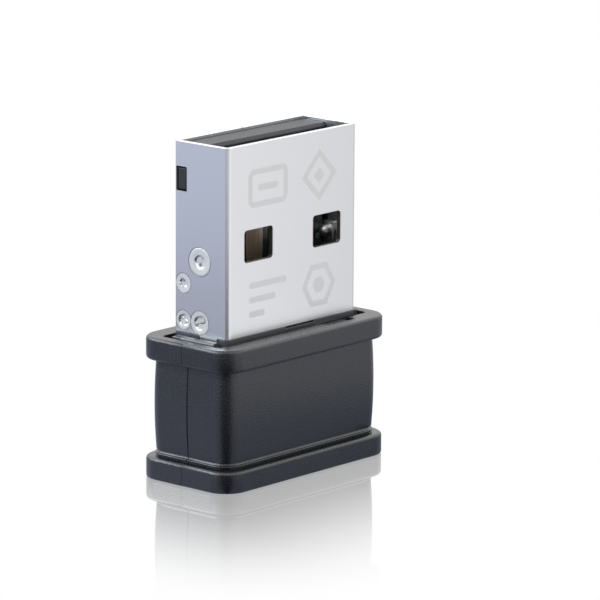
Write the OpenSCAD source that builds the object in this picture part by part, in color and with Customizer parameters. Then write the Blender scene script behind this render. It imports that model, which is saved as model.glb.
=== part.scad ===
// Nano USB Wi-Fi adapter: a flat metal plug that stands in a small moulded grip.
// Millimetres. Z runs up the plug, X across its wide faces, and the face with the
// contact side's windows looks towards -Y. The origin is the middle of the grip's
// bottom face.

/* [Grip] */
// Width of the grip, across the flanges
base_w = 15.4; // [15.2:0.1:20]
// Depth of the grip, across the flanges
base_d = 7.7; // [7.5:0.1:12]
// Height of the grip
base_h = 9.0; // [8.4:0.1:14]
// Thickness of the top flange
flange_t = 1.45; // [1.2:0.05:1.8]
// Thickness of the bottom flange
foot_flange_t = 1.38; // [1.2:0.02:1.8]
// Corner radius of the flanges, seen from above
flange_r = 1.55; // [1.2:0.05:2.4]
// Rounding of the flanges' edges
flange_edge = 0.22; // [0.1:0.02:0.4]
// Rounding of the edge the grip stands on
foot_edge = 0.14; // [0.06:0.02:0.3]
// How far the waist's wide faces lie inside the flanges
waist_inset_d = 0.5; // [0.4:0.01:0.7]
// How far the waist's narrow ends lie inside the flanges
waist_inset_w = 0.5; // [0.4:0.01:0.6]
// Corner radius of the waist, seen from above
waist_r = 1.1; // [0.8:0.1:1.6]
// Radius of the bow in the waist's sides, seen from the front
waist_bow_r = 36; // [25:1:60]
// Height at which the waist is widest
waist_apex_z = 4.7; // [4:0.1:6]
// How far the lip at the waist's foot lies inside the flanges
lip_inset = 0.46; // [0.3:0.01:0.5]
// Height of the lip's upright edge
lip_h = 0.12; // [0.08:0.01:0.3]
// Radius of the hollow curve that runs from the waist out to the lip
lip_curve_r = 0.18; // [0.1:0.01:0.3]
// Height of the groove between the lip and the bottom flange
groove_h = 0.12; // [0.1:0.01:0.3]
// Depth of that groove
groove_depth = 0.2; // [0.1:0.01:0.3]
// Thickness of the grip's wide walls
grip_wall = 0.9; // [0.7:0.05:1]
// Thickness of the grip's end walls
grip_end_wall = 0.8; // [0.7:0.02:1]
// Thickness of the grip's floor
floor_t = 1.2; // [1:0.05:1.5]

/* [Joint between the grip's halves] */
// Radius of the locating pegs on the front half
peg_r = 0.25; // [0.2:0.01:0.3]
// Length of the locating pegs
peg_len = 0.8; // [0.5:0.1:1]
// Distance of the floor pegs from the middle
floor_peg_x = 5.0; // [3:0.1:5.5]
// Height of the end wall pegs
end_peg_z = 4.8; // [3:0.1:6]
// Clearance round each peg
peg_gap = 0.05; // [0.02:0.01:0.08]

/* [Plug] */
// Width of the plug shell
plug_w = 12.0; // [9.8:0.1:12.2]
// Thickness of the plug shell
plug_t = 4.5; // [4.3:0.1:5.4]
// How far the plug stands above the grip
plug_reach = 12.2; // [11.8:0.1:15]
// Thickness of the shell's sheet metal
shell_wall = 0.3; // [0.25:0.01:0.36]
// Outer radius of the shell's bends
shell_bend_r = 0.35; // [0.31:0.01:0.6]
// Gap of the shell's butt seam, down the middle of its back
seam_gap = 0.06; // [0.03:0.01:0.1]
// Height of the dovetail that locks the seam
dovetail_h = 2.6; // [1.5:0.1:3.5]
// Reach of that dovetail past the seam
dovetail_reach = 0.9; // [0.5:0.1:1.2]
// Width of each latch window
window_w = 2.55; // [2:0.05:2.8]
// Height of each latch window
window_h = 1.97; // [1.6:0.01:2.6]
// Corner radius of the windows
window_r = 0.2; // [0.1:0.05:0.4]
// Distance between the middles of two windows
window_pitch = 6.34; // [4.5:0.01:6.6]
// Distance from the plug's tip to the windows' upper edge
window_from_tip = 5.35; // [4.5:0.05:6]
// Height of the snap slot in each narrow side
slot_h = 1.5; // [1:0.1:2]
// Width of the snap slot
slot_w = 0.85; // [0.6:0.05:0.9]
// Distance from the plug's tip to the slots' upper edge
slot_from_tip = 1.6; // [1.2:0.1:2.4]
// Distance from the shell's back to the slots
slot_from_back = 0.25; // [0.2:0.05:0.5]
// Length of the shell's solder legs below its foot
leg_len = 2.75; // [2.2:0.05:3]
// Width of the solder legs
leg_w = 1.45; // [1:0.05:1.6]

/* [Laser welds] */
// Radius of an average weld
weld_r = 0.75; // [0.5:0.01:0.76]
// Width of the raised ring round a weld's crater
weld_ring_w = 0.3; // [0.15:0.01:0.35]
// How deep the ring is sunk in the shell
weld_depth = 0.12; // [0.06:0.01:0.16]
// Height of the lower welds above the shell's foot
weld_low = 0.78; // [0.76:0.01:1]
// Height of the middle weld above the shell's foot
weld_mid = 3.1; // [2.9:0.1:3.3]
// Height of the upper weld above the shell's foot
weld_high = 4.6; // [4.55:0.05:4.8]
// Distance between the two columns of welds
weld_step = 1.36; // [1.35:0.01:1.4]

/* [Ground frame] */
// Thickness of the frame's sheet metal
frame_t = 0.2; // [0.15:0.01:0.25]
// Height of the frame's side flanges
frame_h = 5.5; // [5.4:0.1:6]
// Height of the web that joins them behind the board
frame_web_h = 3.4; // [2:0.1:4]
// How far the flanges reach in front of the board
frame_lap = 0.8; // [0.75:0.05:0.95]

/* [Board and contacts] */
// Thickness of the circuit board
board_t = 0.8; // [0.6:0.02:0.96]
// Free space between the shell's front wall and the contacts' side of the board
contact_gap = 2.0; // [1.9:0.01:2.06]
// Free space beside each edge of the board inside the grip
board_side_gap = 0.4; // [0.1:0.05:0.6]
// Distance of the board's top edge from the plug's tip
board_from_tip = 0.55; // [0.5:0.05:1]
// Thickness of the gold contact fingers
finger_t = 0.08; // [0.04:0.01:0.12]
// Width of the two data fingers
data_finger_w = 1.5; // [1:0.05:1.6]
// Distance of the data fingers from the middle
data_finger_x = 1.05; // [0.9:0.01:1.1]
// Gap between the data fingers and the wider power fingers
finger_gap = 0.7; // [0.3:0.05:0.8]
// Distance of the power fingers from the board's edges
finger_margin = 0.9; // [0.8:0.05:1.2]
// Distance from the plug's tip to the power fingers
power_finger_from_tip = 1.2; // [1:0.1:2]
// Distance from the plug's tip to the data fingers
data_finger_from_tip = 2.2; // [2:0.1:3]
// Height of the fingers' lower ends above the shell's foot
finger_low = 2.6; // [1.5:0.1:4]

/* [Carrier and collar] */
// Distance of the carrier's lip from the plug's tip
lip_from_tip = 0.2; // [0.1:0.05:0.25]
// Chamfer on the front of the lip
lip_chamfer = 0.2; // [0.1:0.05:0.25]
// Depth of the carrier's pocket behind the board
pocket_depth = 0.7; // [0.66:0.01:0.72]
// Thickness of the carrier's walls beside that pocket
carrier_wall = 0.55; // [0.4:0.05:0.8]
// How far the collar's seat stands above the grip
seat_rise = 0.25; // [0.15:0.01:0.4]
// Depth of the collar below the grip's top
collar_depth = 1.25; // [1.1:0.05:1.4]
// Thickness of the collar's trapped plate
collar_plate_t = 0.7; // [0.5:0.05:0.8]
// How far the plate reaches past the plug's ends
collar_lap_w = 1.05; // [1:0.01:1.1]
// How far the plate reaches past the plug's faces
collar_lap_d = 0.5; // [0.4:0.05:0.6]
// Width of the open strip between the plug's ends and the grip
mouth_gap_w = 0.9; // [0.85:0.01:0.95]
// Width of the open strip between the plug's faces and the grip
mouth_gap_d = 0.2; // [0.15:0.01:0.3]
// Width of the raised bar beside each end of the plug
bar_w = 0.55; // [0.4:0.05:0.6]
// Length of those bars
bar_len = 2.8; // [1.5:0.1:3]
// How far the bars stand above the grip
bar_rise = 0.12; // [0.05:0.01:0.2]

/* [Light pipe] */
// Distance of the light pipe from the plug's side
pipe_from_side = 2.4; // [2.1:0.1:3]
// Width of the pipe's head
pipe_head_w = 2.5; // [1.6:0.1:2.6]
// Width of the pipe's stem
pipe_stem_w = 1.4; // [1:0.1:1.6]
// How far the head reaches in front of the plug
pipe_reach = 0.85; // [0.4:0.05:0.9]
// Thickness of the head
pipe_head_t = 0.9; // [0.6:0.05:1]
// Depth of the head's top below the grip's top
pipe_sink = 0.15; // [0.05:0.01:0.3]
// Length of the stem below the head
pipe_stem_len = 2.05; // [1.5:0.05:2.2]
// Height of the slanted face at the stem's foot
pipe_slant = 1.3; // [0.8:0.05:1.4]
// Gap between the stem and the grip's front wall
pipe_wall_gap = 0.38; // [0.1:0.01:0.5]

/* [Clearances] */
// Gap between pieces that are laid into each other
fit_gap = 0.05; // [0.02:0.01:0.08]
// Gap between the board and what holds it
board_gap = 0.02; // [0.01:0.01:0.04]

/* [Hidden] */
$fn = 48;

// Heights
tip_z = base_h + plug_reach;
foot_z = base_h + seat_rise;
collar_z = base_h - collar_depth;
plate_top_z = collar_z + collar_plate_t;
waist_top_z = base_h - flange_t;
lip_low_z = foot_flange_t + groove_h;
lip_top_z = lip_low_z + lip_h;
board_foot_z = floor_t + 0.15;
board_top_z = tip_z - board_from_tip;
shoulder_z = collar_z - 0.3;

// Planes across the plug, from front to back
front_in_y = shell_wall - plug_t / 2;
back_in_y = plug_t / 2 - shell_wall;
board_front_y = front_in_y + contact_gap;
board_back_y = board_front_y + board_t;
finger_y = board_front_y - finger_t;

// Widths
side_in_x = plug_w / 2 - shell_wall;
frame_in_x = side_in_x - frame_t;
board_plug_w = 2 * (frame_in_x - 2 * fit_gap);
data_finger_in_x = data_finger_x - data_finger_w / 2;
data_finger_out_x = data_finger_x + data_finger_w / 2;
power_finger_in_x = data_finger_out_x + finger_gap;
power_finger_out_x = board_plug_w / 2 - finger_margin;
waist_w = base_w - 2 * waist_inset_w;
waist_d = base_d - 2 * waist_inset_d;
lip_w = base_w - 2 * lip_inset;
lip_d = base_d - 2 * lip_inset;
lip_r = flange_r - lip_inset / 2;
cavity_w = waist_w - 2 * grip_end_wall;
cavity_d = waist_d - 2 * grip_wall;
cavity_r = 0.6;
board_base_w = cavity_w - 2 * board_side_gap;
mouth_w = plug_w + 2 * mouth_gap_w;
mouth_d = plug_t + 2 * mouth_gap_d;
mouth_r = 0.4;
collar_w = plug_w + 2 * collar_lap_w;
collar_d = plug_t + 2 * collar_lap_d;
end_peg_x = cavity_w / 2 + grip_end_wall / 2;

// Light pipe
pipe_x = plug_w / 2 - pipe_from_side;
pipe_top_z = base_h - pipe_sink;
pipe_head_z = pipe_top_z - pipe_head_t;
pipe_stem_z = pipe_head_z - pipe_stem_len;
pipe_front_y = -plug_t / 2 - pipe_reach;
pipe_stem_front_y = -cavity_d / 2 + pipe_wall_gap;
led_size = [1.6, 0.6, 0.8];
pipe_back_y = board_front_y - led_size[1] - 3 * fit_gap;
led_z = pipe_stem_z + 0.75;

// Welds: distance from the board's front plane, height, and size against the average weld
weld_spots = [
    [0, foot_z + weld_high, 1.2],
    [weld_step, foot_z + weld_mid, 0.82],
    [weld_step, foot_z + weld_low, 0.8],
    [0, foot_z + weld_low, 0.98]
];

PLASTIC = "#2f3237";
STEEL = "#d3d5da";
GOLD = "#b08a3e";
SOLDER = "#c9ccd0";
BOARD = "#15301f";
CHIP = "#1b1c1e";
CERAMIC = "#a9835c";

// ---------------------------------------------------------------- shapes

module rounded_rect(w, d, r) {
    square([w - 2 * r, d], center = true);
    square([w, d - 2 * r], center = true);
    for (x = [-1, 1], y = [-1, 1])
        translate([x * (w / 2 - r), y * (d / 2 - r)]) circle(r);
}

// The section of a plate whose lower and upper edges have their own rounding
module plate_section(w, h, low_edge, high_edge) {
    intersection() {
        rounded_rect(w, h, low_edge);
        translate([-w, -h]) square([2 * w, h + 0.01]);
    }
    intersection() {
        rounded_rect(w, h, high_edge);
        translate([-w, 0]) square([2 * w, h]);
    }
}

// A plate on the XY plane with rounded corners and rounded edges
module soft_plate(w, d, h, r, low_edge, high_edge) {
    translate([0, 0, h / 2]) {
        rotate([90, 0, 0]) linear_extrude(d - 2 * r, center = true)
            plate_section(w, h, low_edge, high_edge);
        rotate([90, 0, 90]) linear_extrude(w - 2 * r, center = true)
            plate_section(d, h, low_edge, high_edge);
        for (x = [-1, 1], y = [-1, 1])
            translate([x * (w / 2 - r), y * (d / 2 - r), 0])
                rotate_extrude() intersection() {
                    plate_section(2 * r, h, low_edge, high_edge);
                    translate([0, -h / 2]) square([r, h]);
                }
    }
}

// An outline whose left and right sides bow outwards, widest at the waist's apex
module bowed_outline(w) {
    intersection_for(side = [-1, 1])
        translate([side * (w / 2 - waist_bow_r), waist_apex_z]) circle(waist_bow_r, $fn = 240);
}

// A box given by its lowest and highest corners
module box(low, high) {
    translate(low) cube(high - low);
}

// A chip soldered to a face of the board, from the middle of its footprint.
// side is -1 on the front face and 1 on the back face.
module on_board(x, z, side, size) {
    face_y = side < 0 ? board_front_y : board_back_y;
    translate([x - size[0] / 2, side < 0 ? face_y - size[1] : face_y, z - size[2] / 2]) cube(size);
}

// The same small part at each [x, z] of a list
module on_board_each(places, side, size) {
    for (place = places) on_board(place[0], place[1], side, size);
}

// ------------------------------------------------------------------ grip

module waist() {
    intersection() {
        translate([0, 0, lip_low_z])
            linear_extrude(waist_top_z - lip_low_z) rounded_rect(waist_w, waist_d, waist_r);
        rotate([90, 0, 0]) linear_extrude(base_d, center = true) bowed_outline(waist_w);
        rotate([90, 0, 90]) linear_extrude(base_w, center = true) bowed_outline(waist_d);
    }
}

// The section of the lip: it stands out at its foot and curves in to meet the waist
module lip_section(w) {
    difference() {
        translate([-w / 2, lip_low_z]) square([w, lip_h + lip_curve_r]);
        for (side = [-1, 1])
            translate([side * w / 2, lip_top_z + lip_curve_r]) circle(lip_curve_r);
    }
}

// The lip round the waist's foot
module lip() {
    intersection() {
        translate([0, 0, lip_low_z])
            linear_extrude(lip_h + lip_curve_r) rounded_rect(lip_w, lip_d, lip_r);
        rotate([90, 0, 0]) linear_extrude(base_d, center = true) lip_section(lip_w);
        rotate([90, 0, 90]) linear_extrude(base_w, center = true) lip_section(lip_d);
    }
}

// The neck at the bottom of the groove between the lip and the bottom flange
module groove_neck() {
    translate([0, 0, foot_flange_t / 2])
        linear_extrude(foot_flange_t / 2 + groove_h + lip_h / 2)
            rounded_rect(lip_w - 2 * groove_depth, lip_d - 2 * groove_depth, waist_r);
}

module grip_hollow() {
    translate([0, 0, floor_t]) linear_extrude(base_h) rounded_rect(cavity_w, cavity_d, cavity_r);
}

// The opening round the plug, the groove that traps the collar and the light pipe's seat
module grip_mouth() {
    translate([0, 0, collar_z]) linear_extrude(base_h) rounded_rect(mouth_w, mouth_d, mouth_r);
    translate([0, 0, collar_z - fit_gap])
        linear_extrude(collar_plate_t + 2 * fit_gap)
            rounded_rect(collar_w + 2 * fit_gap, collar_d + 2 * fit_gap, mouth_r);
    box([pipe_x - pipe_head_w / 2 - fit_gap, pipe_front_y - fit_gap, pipe_head_z - fit_gap],
        [pipe_x + pipe_head_w / 2 + fit_gap, 0, base_h + 1]);
}

module grip_block() {
    soft_plate(base_w, base_d, foot_flange_t, flange_r, foot_edge, flange_edge);
    translate([0, 0, waist_top_z])
        soft_plate(base_w, base_d, flange_t, flange_r, flange_edge, flange_edge);
    waist();
    lip();
    groove_neck();
}

// One half of the grip: side is -1 for the front half and 1 for the back half
module grip_half(side) {
    difference() {
        intersection() {
            grip_block();
            translate([-base_w, side < 0 ? -base_d : 0, -1]) cube([2 * base_w, base_d, base_h + 2]);
        }
        // the hollow stops under the collar
        intersection() {
            grip_hollow();
            translate([-base_w, -base_d, 0]) cube([2 * base_w, 2 * base_d, collar_z + fit_gap]);
        }
        grip_mouth();
    }
}

// Centres of the locating pegs, as [x, z]
function peg_places() = [for (side = [-1, 1]) each [
    [side * floor_peg_x, floor_t / 2],
    [side * end_peg_x, end_peg_z]
]];

// Ribs that hold the board's lower corners, from one Y to another
module board_ribs(from_y, to_y) {
    rib_w = 0.9;
    rib_top_z = floor_t + 2.8;
    for (side = [-1, 1])
        translate([side * (cavity_w / 2 - rib_w / 2 + 0.05) - rib_w / 2, from_y, floor_t - 0.05])
            cube([rib_w, to_y - from_y, rib_top_z - floor_t]);
}

module front_housing() {
    color(PLASTIC) {
        grip_half(-1);
        board_ribs(-cavity_d / 2 - 0.1, min(0, board_front_y - board_gap));
        for (place = peg_places())
            translate([place[0], -0.3, place[1]]) rotate([-90, 0, 0]) cylinder(peg_len + 0.3, r = peg_r);
    }
}

module back_housing() {
    color(PLASTIC) {
        difference() {
            grip_half(1);
            for (place = peg_places())
                translate([place[0], -1, place[1]])
                    rotate([-90, 0, 0]) cylinder(peg_len + peg_gap + 1, r = peg_r + peg_gap);
        }
        board_ribs(board_back_y + board_gap, cavity_d / 2 + 0.1);
    }
}

// ---------------------------------------------------------------- collar

module collar_bars() {
    bar_x = plug_w / 2 + (mouth_gap_w - bar_w) / 2 + bar_w / 2;
    bar_h = base_h + bar_rise - collar_z;
    bar_y = -0.35;
    lug_w = 0.45;
    for (side = [-1, 1]) {
        translate([side * bar_x, bar_y + bar_len / 2, collar_z + bar_h / 2])
            rotate([90, 0, 0]) linear_extrude(bar_len) rounded_rect(bar_w, bar_h, 0.18);
        translate([side * (plug_w / 2 + lug_w / 2), plug_t / 2 - 0.7, (collar_z + base_h) / 2])
            cube([lug_w + 0.2, 0.65, base_h - collar_z], center = true);
    }
}

module plug_collar() {
    leg_slot_x = [side_in_x - fit_gap, plug_w / 2 + fit_gap];
    relief_x = [-0.6, 2.0];
    relief_h = 0.1;
    color(PLASTIC) difference() {
        union() {
            translate([0, 0, collar_z]) {
                linear_extrude(collar_plate_t) rounded_rect(collar_w, collar_d, mouth_r);
                linear_extrude(foot_z - collar_z) rounded_rect(plug_w, plug_t, shell_bend_r);
            }
            collar_bars();
        }
        // passage for the board
        box([-board_plug_w / 2 - fit_gap, board_front_y - fit_gap, collar_z - 1],
            [board_plug_w / 2 + fit_gap, board_back_y + fit_gap, tip_z]);
        // slots for the shell's solder legs
        for (side = [0, 1]) mirror([side, 0, 0])
            box([leg_slot_x[0], board_front_y - leg_w - fit_gap, collar_z - 1],
                [leg_slot_x[1], board_front_y + fit_gap, tip_z]);
        // notch for the light pipe, which leaves the seat whole above the pipe
        box([pipe_x - pipe_head_w / 2 - fit_gap, -base_d, collar_z - 1],
            [pipe_x + pipe_head_w / 2 + fit_gap, pipe_back_y + fit_gap, pipe_top_z + fit_gap]);
        // shallow relief in the front of the seat, under the shell's edge
        box([relief_x[0], -base_d, foot_z - relief_h], [relief_x[1], front_in_y - 0.05, tip_z]);
    }
}

// ------------------------------------------------------------ plug shell

// The seam's line up the back of the shell, with its dovetail, as a thin outline in X and Z
module seam_outline() {
    middle_z = (foot_z + tip_z) / 2;
    flare = 0.35;
    path = [
        [0, foot_z - 1],
        [0, middle_z - dovetail_h / 2 + flare],
        [dovetail_reach, middle_z - dovetail_h / 2],
        [dovetail_reach, middle_z + dovetail_h / 2],
        [0, middle_z + dovetail_h / 2 - flare],
        [0, tip_z + 1]
    ];
    half = seam_gap / 2;
    polygon(concat(
        [for (p = path) p - [half, 0]],
        [for (i = [len(path) - 1 : -1 : 0]) path[i] + [half, 0]]
    ));
    // the dovetail's two slanted edges
    for (end = [1, 3])
        let (a = path[end], b = path[end + 1])
            polygon([a - [0, half], a + [0, half], b + [0, half], b - [0, half]]);
}

// The outline of the space inside the shell
module shell_inside() {
    rounded_rect(2 * side_in_x, 2 * back_in_y, max(0.07, shell_bend_r - shell_wall));
}

module shell_windows() {
    window_z = tip_z - window_from_tip - window_h / 2;
    for (side = [-1, 1])
        translate([side * window_pitch / 2, 0, window_z]) rotate([90, 0, 0])
            linear_extrude(plug_t + 2, center = true) rounded_rect(window_w, window_h, window_r);
}

// A weld's disc, from its outer face inwards: a ring round a dished crater
module weld_disc(r) {
    crater_r = r - weld_ring_w;
    crest_r = r - weld_ring_w / 2;
    rotate_extrude() polygon([
        [0, weld_depth], [r, weld_depth], [r, 0.04], [crest_r, 0], [crater_r, 0.03], [0, weld_depth - 0.03]
    ]);
}

// Turns a shape that runs in along +Z to each weld of both narrow sides
module at_weld(side, spot) {
    translate([side * plug_w / 2, board_front_y + spot[0], spot[1]]) rotate([0, -side * 90, 0]) children();
}

module plug_shell() {
    weld_gap = 0.005;
    tube_h = tip_z - foot_z;
    slot_y1 = plug_t / 2 - slot_from_back;
    slot_z1 = tip_z - slot_from_tip;
    color(STEEL) {
        difference() {
            translate([0, 0, foot_z]) linear_extrude(tube_h) difference() {
                rounded_rect(plug_w, plug_t, shell_bend_r);
                shell_inside();
            }
            shell_windows();
            rotate([90, 0, 0]) translate([0, 0, -plug_t]) linear_extrude(plug_t) seam_outline();
            for (side = [0, 1]) mirror([side, 0, 0])
                box([side_in_x - 0.2, slot_y1 - slot_w, slot_z1 - slot_h], [plug_w, slot_y1, slot_z1]);
            for (side = [-1, 1], spot = weld_spots)
                at_weld(side, spot) translate([0, 0, -1])
                    cylinder(1 + weld_depth, r = weld_r * spot[2] + weld_gap);
        }
        // solder legs
        for (side = [0, 1]) mirror([side, 0, 0])
            box([side_in_x, board_front_y - leg_w, foot_z - leg_len],
                [plug_w / 2, board_front_y, foot_z + 0.01]);
    }
}

module laser_weld_spots() {
    color(SOLDER) for (side = [-1, 1], spot = weld_spots)
        at_weld(side, spot) weld_disc(weld_r * spot[2]);
}

module ground_frame() {
    flange_front_y = board_front_y - frame_lap;
    color(STEEL) intersection() {
        union() {
            for (side = [0, 1]) mirror([side, 0, 0])
                box([frame_in_x, flange_front_y, foot_z], [side_in_x, back_in_y, foot_z + frame_h]);
            box([-side_in_x, back_in_y - frame_t, foot_z], [side_in_x, back_in_y, foot_z + frame_web_h]);
        }
        translate([0, 0, foot_z]) linear_extrude(frame_h) shell_inside();
    }
}

// --------------------------------------------------------------- carrier

module board_carrier() {
    low_z = foot_z + fit_gap;
    rail_z = foot_z + frame_h + fit_gap;
    lip_z = board_top_z + board_gap;
    lip_top_z = tip_z - lip_from_tip;
    front_y = board_back_y + board_gap;
    back_y = back_in_y - fit_gap;
    narrow_x = frame_in_x - fit_gap;
    wide_x = side_in_x - fit_gap;
    pocket_x = narrow_x - carrier_wall;
    pocket_z = [foot_z + 0.6, tip_z - 1.7];
    lug_gap = 0.08;
    lug_y1 = plug_t / 2 - slot_from_back - lug_gap;
    lug_z1 = tip_z - slot_from_tip - lug_gap;
    color(PLASTIC) {
        difference() {
            union() {
                box([-narrow_x, front_y, low_z], [narrow_x, back_y, lip_top_z]);
                box([-wide_x, front_y, rail_z], [wide_x, back_y, lip_top_z]);
                // lip over the board's top edge
                box([-wide_x, board_front_y, lip_z], [wide_x, back_y, lip_top_z]);
            }
            // room for the ground frame's web
            box([-plug_w, back_in_y - frame_t - fit_gap, low_z - 1],
                [plug_w, plug_t, foot_z + frame_web_h + fit_gap]);
            // pocket for the chips behind the board
            box([-pocket_x, front_y - 1, pocket_z[0]], [pocket_x, front_y + pocket_depth, pocket_z[1]]);
            // chamfer along the lip's front edge
            rotate([90, 0, 90]) linear_extrude(plug_w, center = true) polygon([
                [board_front_y - 1, lip_top_z - lip_chamfer - 1],
                [board_front_y - 1, lip_top_z + 1],
                [board_front_y + lip_chamfer + 1, lip_top_z + 1]
            ]);
        }
        // lugs that snap into the shell's slots
        for (side = [0, 1]) mirror([side, 0, 0])
            box([wide_x - 0.2, lug_y1 - slot_w + 2 * lug_gap, lug_z1 - slot_h + 2 * lug_gap],
                [plug_w / 2 - 0.06, min(lug_y1, back_y), lug_z1]);
    }
}

// -------------------------------------------------------- board and contacts

module circuit_board() {
    color(BOARD) {
        box([-board_base_w / 2, board_front_y, board_foot_z],
            [board_base_w / 2, board_back_y, shoulder_z]);
        box([-board_plug_w / 2, board_front_y, shoulder_z - 0.1],
            [board_plug_w / 2, board_back_y, board_top_z]);
    }
}

module contact_finger(low_x, high_x, from_tip) {
    color(GOLD) box([low_x, finger_y, foot_z + finger_low], [high_x, board_front_y, tip_z - from_tip]);
}

module contact_vbus() {
    contact_finger(-power_finger_out_x, -power_finger_in_x, power_finger_from_tip);
}

module contact_data_minus() {
    contact_finger(-data_finger_out_x, -data_finger_in_x, data_finger_from_tip);
}

module contact_data_plus() {
    contact_finger(data_finger_in_x, data_finger_out_x, data_finger_from_tip);
}

module contact_ground() {
    contact_finger(power_finger_in_x, power_finger_out_x, power_finger_from_tip);
}

// ------------------------------------------------------------- components

// Heights of the rows of parts: behind the board in the plug, and in the grip
chip_z = foot_z + 4.6;
upper_row_z = foot_z + 8.9;
power_row_z = shoulder_z - 1.4;
radio_row_z = board_foot_z + 2.35;
antenna_z = board_foot_z + 0.95;
// The regulator stands beside the left solder leg, and the inductor beside the regulator
regulator_x = -(side_in_x - 2.0);
inductor_x = regulator_x + 3.0;

module wifi_chip() {
    color(CHIP) on_board(0, chip_z, 1, [5, 0.6, 5]);
}

module eeprom_chip() {
    color(CHIP) on_board(2.3, upper_row_z, 1, [3, 0.55, 2]);
}

module crystal() {
    color("#c4c2bb") {
        on_board(-2.4, upper_row_z, 1, [2.5, 0.35, 2.0]);
        translate([0, 0.34, 0]) on_board(-2.4, upper_row_z, 1, [2.2, 0.25, 1.7]);
    }
}

module voltage_regulator() {
    lead = [0.4, 0.3, 0.62];
    color(CHIP) {
        translate([0, -0.08, 0]) on_board(regulator_x, power_row_z, -1, [2.9, 1.0, 1.6]);
        on_board_each([for (i = [-1 : 1]) [regulator_x + i * 0.95, power_row_z - 1.05]], -1, lead);
        on_board_each([for (i = [-1, 1]) [regulator_x + i * 0.95, power_row_z + 1.05]], -1, lead);
    }
}

module power_inductor() {
    color("#3a3a3c") on_board(inductor_x, power_row_z, -1, [2.5, 1.2, 2.0]);
}

module rf_filter() {
    color(CERAMIC) on_board(0.4, radio_row_z, -1, [1.6, 0.6, 0.8]);
}

module chip_antenna() {
    color("#d8d5c8") on_board(0, antenna_z, -1, [5, 0.9, 1.6]);
}

module ceramic_capacitors() {
    size = [0.5, 0.5, 1.0];
    color(CERAMIC) {
        on_board_each([for (side = [-1, 1], row = [-1 : 1]) [side * 3.4, chip_z + 1.7 * row]], 1, size);
        on_board_each([for (i = [0 : 2]) [-3.2 + 0.9 * i, radio_row_z]], -1, size);
        on_board_each([[1.2, power_row_z], [2.1, power_row_z]], 1, size);
    }
}

module chip_resistors() {
    size = [0.5, 0.35, 1.0];
    color(CHIP) {
        on_board_each([for (i = [0 : 2]) [1.9 + 0.8 * i, radio_row_z]], -1, size);
        on_board_each([[-0.3, upper_row_z], [0.4, upper_row_z]], 1, size);
    }
}

// Solder that ties the shell's legs and the ground frame to the board's ground pads
module shell_solder_joints() {
    fillet = 0.4;
    dome_r = 0.45;
    dome_rise = 0.25;
    dome_z = foot_z + frame_h - 0.6;
    color(SOLDER) for (side = [0, 1]) mirror([side, 0, 0]) {
        translate([0, 0, foot_z - leg_len + 0.1]) linear_extrude(shoulder_z - 0.1 - (foot_z - leg_len + 0.1))
            polygon([
                [side_in_x, board_front_y], [side_in_x - fillet, board_front_y],
                [side_in_x, board_front_y - fillet]
            ]);
        // a dome of solder on the board's face, against the frame
        intersection() {
            translate([frame_in_x - 0.1, board_front_y, dome_z]) rotate([90, 0, 0])
                rotate_extrude() intersection() {
                    translate([0, dome_rise]) circle(dome_r);
                    square(2 * dome_r);
                }
            box([0, -plug_t, foot_z], [frame_in_x, board_back_y, tip_z]);
        }
    }
}

module status_led() {
    color("#e9e6d6") on_board(pipe_x, led_z, -1, led_size);
}

module light_pipe() {
    color("#8d8378") {
        box([pipe_x - pipe_head_w / 2, pipe_front_y, pipe_head_z],
            [pipe_x + pipe_head_w / 2, pipe_back_y, pipe_top_z]);
        // the stem's slanted foot turns the light upwards
        translate([pipe_x, 0, 0]) rotate([90, 0, 90]) linear_extrude(pipe_stem_w, center = true) polygon([
            [pipe_back_y, pipe_stem_z], [pipe_back_y, pipe_head_z + 0.1],
            [pipe_stem_front_y, pipe_head_z + 0.1],
            [pipe_stem_front_y, pipe_stem_z + pipe_slant]
        ]);
    }
}

front_housing();
back_housing();
plug_collar();
plug_shell();
ground_frame();
laser_weld_spots();
board_carrier();
circuit_board();
contact_vbus();
contact_data_minus();
contact_data_plus();
contact_ground();
wifi_chip();
eeprom_chip();
crystal();
voltage_regulator();
power_inductor();
rf_filter();
chip_antenna();
ceramic_capacitors();
chip_resistors();
shell_solder_joints();
status_led();
light_pipe();
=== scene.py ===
import math

import bmesh
import bpy
from mathutils import Matrix, Vector
from mathutils.geometry import tessellate_polygon


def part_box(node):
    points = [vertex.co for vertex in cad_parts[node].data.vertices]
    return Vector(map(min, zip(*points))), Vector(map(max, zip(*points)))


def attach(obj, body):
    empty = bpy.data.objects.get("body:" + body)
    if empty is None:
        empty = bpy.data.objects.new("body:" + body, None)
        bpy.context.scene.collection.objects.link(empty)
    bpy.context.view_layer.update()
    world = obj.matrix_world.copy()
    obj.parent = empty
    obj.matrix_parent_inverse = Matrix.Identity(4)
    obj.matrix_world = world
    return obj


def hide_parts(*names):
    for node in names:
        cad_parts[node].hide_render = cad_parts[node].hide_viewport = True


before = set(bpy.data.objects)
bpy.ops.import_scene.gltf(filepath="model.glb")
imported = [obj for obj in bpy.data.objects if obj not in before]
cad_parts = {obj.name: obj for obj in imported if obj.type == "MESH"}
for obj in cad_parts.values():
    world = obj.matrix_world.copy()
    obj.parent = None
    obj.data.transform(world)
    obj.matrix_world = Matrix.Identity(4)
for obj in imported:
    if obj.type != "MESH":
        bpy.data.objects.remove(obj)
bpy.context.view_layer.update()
MM = 0.001


# ------------------------------------------------------------------ sizes

def box_mm(node):
    """Lowest and highest corner of a CAD node, in millimetres."""
    low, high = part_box(node)
    return low / MM, high / MM


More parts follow.
